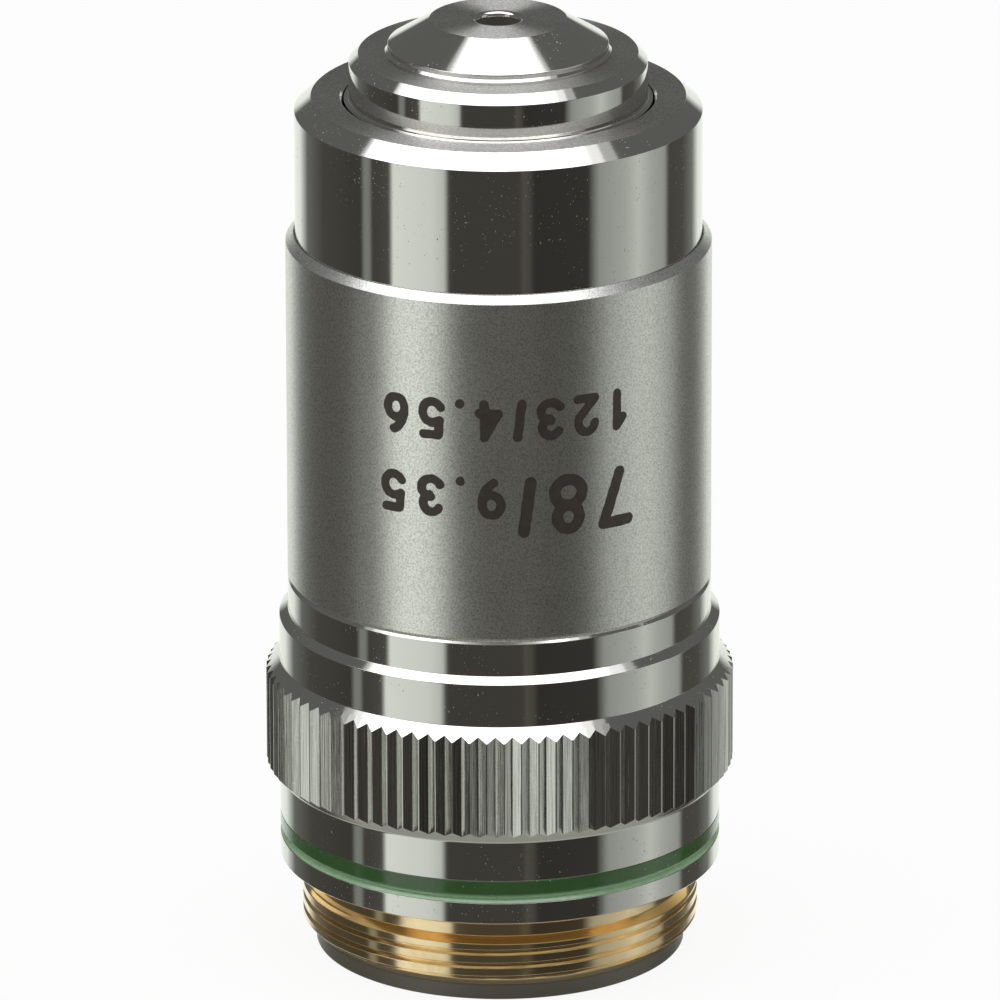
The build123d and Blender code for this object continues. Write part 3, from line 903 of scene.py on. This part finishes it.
class OBJECTIVE_OT_lenses(Step, bpy.types.Operator):
    """Grinds the five lenses: the front lens and the two cemented pairs"""

    bl_idname = "objective.lenses"
    bl_label = "Lenses"

    def build(self, _):
        curves = {
            "front_lens": (0, -2.30), "middle_flint": (0, 9.50), "middle_crown": (9.50, -10.50),
            "rear_flint": (0, 11.50), "rear_crown": (11.50, -13.50),
        }
        count = 20
        for node, (front, rear) in curves.items():
            r, low, top = reach(node)
            bottom = low if rear < 0 else low + fall(rear, r)
            steps = [r * k / count for k in range(count + 1)]
            outline = [(at, bottom - fall(rear, at), 0) for at in steps]
            outline += [(at, top - fall(front, at), 0) for at in reversed(steps)]
            piece = lathe(f"{node}_glass", outline, segments=128)
            even(piece)
            kind = "flint_glass" if node.endswith("flint") else "crown_glass"
            dress(piece, NOSE, kind, node)


class OBJECTIVE_OT_spring(Step, bpy.types.Operator):
    """Winds the return spring"""

    bl_idname = "objective.spring"
    bl_label = "Return spring"

    def build(self, s):
        piece = put("coil_spring", bpy.data.meshes.new("coil_spring"))
        wire = s.wire * MM
        settings = {
            "Turns": s.turns, "Radius": SPRING_R * MM - wire / 2, "Wire": wire,
            "Height": (SPRING_TOP - SPRING_BASE) * MM - wire, "Base": SPRING_BASE * MM + wire / 2,
            "Finish": finish("steel"),
        }
        tree, given = node_group("Return spring", "Start", "Spring", settings)
        helix = get(tree, "GeometryNodeCurveSpiral", {
            "Resolution": 48, "Rotations": given["Turns"], "Start Radius": given["Radius"],
            "End Radius": given["Radius"], "Height": given["Height"],
        })
        radius = scaled(tree, given["Wire"], 0.5)
        ring = get(tree, "GeometryNodeCurvePrimitiveCircle", {"Resolution": 16, "Radius": radius})
        swept = {"Curve": helix, "Profile Curve": ring, "Fill Caps": True}
        made = get(tree, "GeometryNodeCurveToMesh", swept)
        lifted = vector(tree, z=given["Base"])
        made = get(tree, "GeometryNodeTransform", {"Geometry": made, "Translation": lifted})
        run_group(piece, tree, made, given, settings)
        dress(piece, BARREL, "steel", "return_spring")
        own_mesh(piece)


def arc(x, y, wide, high, start, end, count=12):
    """Points of an arc of an ellipse, angles in degrees."""
    turns = [radians(start + (end - start) * k / count) for k in range(count + 1)]
    return [(x + wide * cos(t), y + high * sin(t)) for t in turns]


# Pen strokes of the numerals in a box of one by one
STROKES = {
    "1": [[(0.10, 0.74), (0.62, 1.0), (0.62, 0.0)]],
    "2": [arc(0.5, 0.70, 0.48, 0.30, 170, -30) + [(0.04, 0.0), (1.0, 0.0)]],
    "3": [arc(0.46, 0.74, 0.46, 0.26, 150, -80), arc(0.46, 0.27, 0.54, 0.27, 90, -155)],
    "4": [[(0.72, 0.0), (0.72, 1.0), (0.0, 0.28), (1.0, 0.28)]],
    "5": [[(0.94, 1.0), (0.14, 1.0), (0.06, 0.56)] + arc(0.46, 0.32, 0.54, 0.32, 125, -150)],
    "6": [arc(0.5, 0.30, 0.5, 0.30, 0, 360, 24), arc(0.9, 0.30, 0.9, 0.70, 180, 108)],
    "7": [[(0.0, 1.0), (1.0, 1.0), (0.36, 0.0)]],
    "8": [arc(0.5, 0.76, 0.40, 0.24, 0, 360, 24), arc(0.5, 0.26, 0.5, 0.26, 0, 360, 24)],
    "9": [arc(0.5, 0.70, 0.5, 0.30, 0, 360, 24), arc(0.1, 0.70, 0.9, 0.70, 0, -72)],
    "/": [[(0.0, 0.0), (1.0, 1.0)]],
    ".": [[(0.5, 0.0), (0.5, 0.02)]],
}
WIDTHS = {"1": 0.52, "/": 0.30, ".": 0.21}


class OBJECTIVE_OT_numerals(Step, bpy.types.Operator):
    """Paints two rows of plain numbers on the label sleeve, upright with the nose down"""

    bl_idname = "objective.numerals"
    bl_label = "Numerals"

    def build(self, s):
        shape = bmesh.new()
        usual, fine_pen, wobble = 0.64, 0.235, 0.035
        # Each row: height of its feet, angle where it starts, looseness, and groups of (text, height, pen)
        rows = (
            (27.84, 36.7, 1.0, (("123/4.56", s.letter_height, fine_pen),)),
            (23.75, 38.4, 1.2, (("78/", 3.20, 0.30), ("9.35", s.letter_height, fine_pen))),
        )
        for base, start, airy, groups in rows:
            at = radians(start)
            for text, high, pen in groups:
                for sign in text:
                    wide = high * WIDTHS.get(sign, usual)
                    across, upward = wide - 2 * pen, high - 2 * pen
                    path = [[(pen + x * across, pen + y * upward) for x, y in line] for line in STROKES[sign]]

                    def gap(x, y):
                        """How far a spot lies outside the pen's track, with a hand-cut edge."""
                        near = min(self.reach(x, y, a, b) for line in path for a, b in zip(line, line[1:]))
                        return near - pen + wobble * mathnoise.noise(Vector((x * 3 + at * 50, y * 3, base)))

                    self.fill(shape, gap, wide, high, s.letter_step, lambda x, y: self.wrap(at, base, x, y))
                    at -= (wide + airy * s.letter_gap) / SLEEVE_R
        sink = (SLEEVE_R - 0.02) / (SLEEVE_R + s.letter_relief)
        made = bmesh.ops.extrude_face_region(shape, geom=list(shape.faces), use_keep_orig=True)
        for item in made["geom"]:
            if isinstance(item, bmesh.types.BMVert):
                item.co = (item.co.x * sink, item.co.y * sink, item.co.z)
        piece = solid("plain_numerals", shape)
        dress(piece, BARREL, "satin_chrome", material="numeral_paint")

    @staticmethod
    def reach(x, y, a, b):
        """Distance from a spot to a stroke's segment."""
        dx, dy = b[0] - a[0], b[1] - a[1]
        along = max(0.0, min(1.0, ((x - a[0]) * dx + (y - a[1]) * dy) / (dx * dx + dy * dy)))
        return hypot(x - a[0] - along * dx, y - a[1] - along * dy)

    @staticmethod
    def wrap(start, base, x, y):
        """A spot of a numeral's box, laid upside down round the sleeve."""
        angle = start - x / SLEEVE_R - pi / 2
        r = SLEEVE_R + sizes().letter_relief
        return r * cos(angle) * MM, r * sin(angle) * MM, (base - y) * MM

    @staticmethod
    def fill(shape, gap, wide, high, step, lay):
        """Fills the area where gap is negative with small cells, clipped at its edge."""
        across, upward = int(wide / step) + 4, int(high / step) + 4
        value = {
            (i, j): gap((i - 1) * step, (j - 1) * step) for i in range(across + 1) for j in range(upward + 1)
        }
        verts = {}

        def spot(a, b=None):
            """The vertex of a cell's corner, or where the edge from a to b is crossed."""
            key = (a, b) if b is None or a < b else (b, a)
            if key not in verts:
                x, y = a
                if b is not None:
                    share_b = value[a] / (value[a] - value[b])
                    x, y = a[0] + (b[0] - a[0]) * share_b, a[1] + (b[1] - a[1]) * share_b
                verts[key] = shape.verts.new(lay((x - 1) * step, (y - 1) * step))
            return verts[key]

        for i in range(across):
            for j in range(upward):
                ring = ((i, j), (i + 1, j), (i + 1, j + 1), (i, j + 1))
                loop = []
                for a, b in zip(ring, ring[1:] + ring[:1]):
                    if value[a] < 0:
                        loop.append(spot(a))
                    if (value[a] < 0) != (value[b] < 0):
                        loop.append(spot(a, b))
                if len(loop) > 2:
                    shape.faces.new(loop)


class OBJECTIVE_OT_fittings(Step, bpy.types.Operator):
    """Gives the inner fittings, which keep their solids, their finishes"""

    bl_idname = "objective.fittings"
    bl_label = "Inner fittings"

    def build(self, _):
        for part in frame["record"]["subparts"]:
            node = frame["nodes"][part["node"]]
            if node.hide_render:
                continue
            node.data.materials.clear()
            node.data.materials.append(finish(part["material_slot"]))


def light(name, place, target, wide, deep, radiance):
    """A soft rectangular lamp of this radiance; without a target it faces straight down."""
    data = bpy.data.lights.new(name, "AREA")
    data.shape = "RECTANGLE"
    data.size, data.size_y = wide, deep
    data.energy = radiance * pi * wide * deep
    lamp = put(name, data)
    lamp.location = place
    if target:
        lamp.rotation_euler = (Vector(target) - Vector(place)).to_track_quat("-Z", "Y").to_euler()


def warm(grey):
    """A grey for the room: its dark parts are a little warm and its panels a little green."""
    return (grey * 1.06, grey, grey * 0.86) if grey < 0.12 else (grey * 0.975, grey * 1.02, grey * 0.945)


# What metal sees level with it, as (degrees round from the camera's side, grey)
PANELS = (
    (-180, 1.0), (-152, 0.9), (-138, 0.16), (-118, 0.07), (-84, 0.05), (-82, 0.24), (-78, 0.24),
    (-76, 0.06), (-64, 0.08), (-62, 0.86), (-38, 0.76), (-31, 0.62), (-28, 0.056), (12, 0.056),
    (14, 0.09), (18, 0.07), (20, 0.035), (52, 0.04), (59, 0.34), (76, 0.46), (86, 0.62), (96, 0.46),
    (108, 0.36), (112, 0.07), (128, 0.08), (142, 0.20), (154, 0.9), (180, 1.0),
)
ROOM_ABOVE = (0.125, 0.125, 0.118)
FLOOR_BELOW = (0.42, 0.43, 0.39)
ROOM_FILL = (0.42, 0.42, 0.41)


def open_view(tree):
    """The light path's outputs, and 1 for rays from the camera, also through glass."""
    path = add(tree, "ShaderNodeLightPath").outputs
    return path, calc(tree, "MAXIMUM", path["Is Camera Ray"], path["Is Transmission Ray"])


def studio_world():
    """White to the camera. Metal sees two pale side panels, a white wall behind and a dim room in front."""
    world = bpy.data.worlds.new("studio")
    bpy.context.scene.world = world
    world.use_nodes = True
    tree = world.node_tree
    tree.nodes.clear()
    x, y, z = parts(tree, add(tree, "ShaderNodeTexCoord").outputs["Generated"])
    turn = calc(tree, "ARCTAN2", x, scaled(tree, y, -1.0))
    stops = tuple((angle / 360 + 0.5, warm(grey)) for angle, grey in PANELS)
    around = ramp(tree, scaled(tree, turn, 1 / (2 * pi), 0.5), stops)
    rise = scaled(tree, z, 0.5, 0.5)
    seen = mix(tree, rising(tree, rise, 0.505, 0.56), around, ROOM_ABOVE)
    seen = mix(tree, ramp(tree, rise, ((0.13, 1.0), (0.20, 0.0))), seen, FLOOR_BELOW)
    path, viewed = open_view(tree)
    colour = mix(tree, viewed, mix(tree, path["Is Glossy Ray"], ROOM_FILL, seen), WHITE)
    back = get(tree, "ShaderNodeBackground", {"Color": colour, "Strength": 1.0})
    add(tree, "ShaderNodeOutputWorld", {0: back})


def pale_floor():
    """A floor that is nearly white to the camera, takes a soft shadow and doesn't show in metal."""
    shape = bmesh.new()
    bmesh.ops.create_circle(shape, cap_ends=True, segments=96, radius=2.0)
    bmesh.ops.translate(shape, verts=shape.verts, vec=(0, 0, (RING_END - 0.01) * MM))
    floor = solid("floor", shape)
    made, tree, shader, place, _ = surface("floor_white", (0.86, 0.86, 0.85), 0.8)
    grain = noise(tree, place, 40.0, 3.0, 0.5)
    cover(shader, mix(tree, grain, (0.85, 0.85, 0.84), (0.87, 0.87, 0.86)))
    path, viewed = open_view(tree)
    white = get(tree, "ShaderNodeEmission", {"Color": opaque(WHITE), "Strength": 1.0})
    clear = get(tree, "ShaderNodeBsdfTransparent")
    pale = get(tree, "ShaderNodeMixShader", {0: scaled(tree, viewed, 0.92), 1: shader.outputs[0], 2: white})
    mirrored = get(tree, "ShaderNodeMixShader", {0: path["Is Glossy Ray"], 1: pale, 2: clear})
    feed(tree.nodes["Material Output"].inputs[0], mirrored)
    floor.data.materials.append(made)


class OBJECTIVE_OT_stage(Step, bpy.types.Operator):
    """Lays the pale floor, hangs the soft lamps and sets the camera at the photo's angle"""

    bl_idname = "objective.stage"
    bl_label = "Stage"

    def build(self, _):
        studio_world()
        pale_floor()
        # Three nested lamps overhead give the highlights a soft border
        for step, radiance in enumerate((1.2, 0.6, 0.4)):
            place = (-0.10, -0.04, 0.52 + 0.002 * step)
            light(f"softbox_{step}", place, None, 0.72 + 0.09 * step, 0.37 + 0.03 * step, radiance)
        middle = (0, 0, 0.020)
        light("left_panel", (-0.55, -0.45, 0.25), middle, 0.35, 0.5, 0.5)
        light("right_panel", (0.60, -0.10, 0.25), middle, 0.35, 0.5, 0.4)

        camera = put("camera", bpy.data.cameras.new("camera"))
        camera.data.lens = 496.4
        camera.data.sensor_width = 36.0
        camera.data.clip_start = 0.05
        away, rise, roll = 0.700, radians(19.32), radians(-0.13)
        target = Vector((0.00004, 0, 0.0188))
        camera.location = target + Vector((0, -away * cos(rise), away * sin(rise)))
        facing = (target - camera.location).to_track_quat("-Z", "Y").to_matrix().to_4x4()
        camera.matrix_world = Matrix.Translation(camera.location) @ facing @ Matrix.Rotation(roll, 4, "Z")
        bpy.context.scene.camera = camera
        bpy.context.scene.view_settings.view_transform = "Standard"


class OBJECTIVE_PT_panel(bpy.types.Panel):
    """Lists the objective's pieces and finishes"""

    bl_label = "Microscope objective"
    bl_idname = "OBJECTIVE_PT_panel"
    bl_space_type = "VIEW_3D"
    bl_region_type = "UI"
    bl_category = "Objective"

    def draw(self, context):
        for group in (sizes(), finishes()):
            box = self.layout.box()
            for name in group.bl_rna.properties.keys():
                if name not in ("rna_type", "name"):
                    box.prop(group, name)
        for step in STEPS:
            self.layout.operator(step.bl_idname)


STEPS = (
    OBJECTIVE_OT_mount, OBJECTIVE_OT_knurl, OBJECTIVE_OT_thread, OBJECTIVE_OT_rings, OBJECTIVE_OT_sleeve,
    OBJECTIVE_OT_barrel, OBJECTIVE_OT_nose, OBJECTIVE_OT_lenses, OBJECTIVE_OT_spring, OBJECTIVE_OT_numerals,
    OBJECTIVE_OT_fittings, OBJECTIVE_OT_stage,
)


def register():
    for made in (ObjectiveSizes, ObjectiveFinishes, *STEPS, OBJECTIVE_PT_panel):
        bpy.utils.register_class(made)
    bpy.types.Scene.objective_sizes = PointerProperty(type=ObjectiveSizes)
    bpy.types.Scene.objective_finishes = PointerProperty(type=ObjectiveFinishes)


def unregister():
    del bpy.types.Scene.objective_finishes
    del bpy.types.Scene.objective_sizes
    for made in (OBJECTIVE_PT_panel, *reversed(STEPS), ObjectiveFinishes, ObjectiveSizes):
        bpy.utils.unregister_class(made)


def main():
    register()
    for step in STEPS:
        group, name = step.bl_idname.split(".")
        getattr(getattr(bpy.ops, group), name)()


if __name__ == "__main__":
    main()
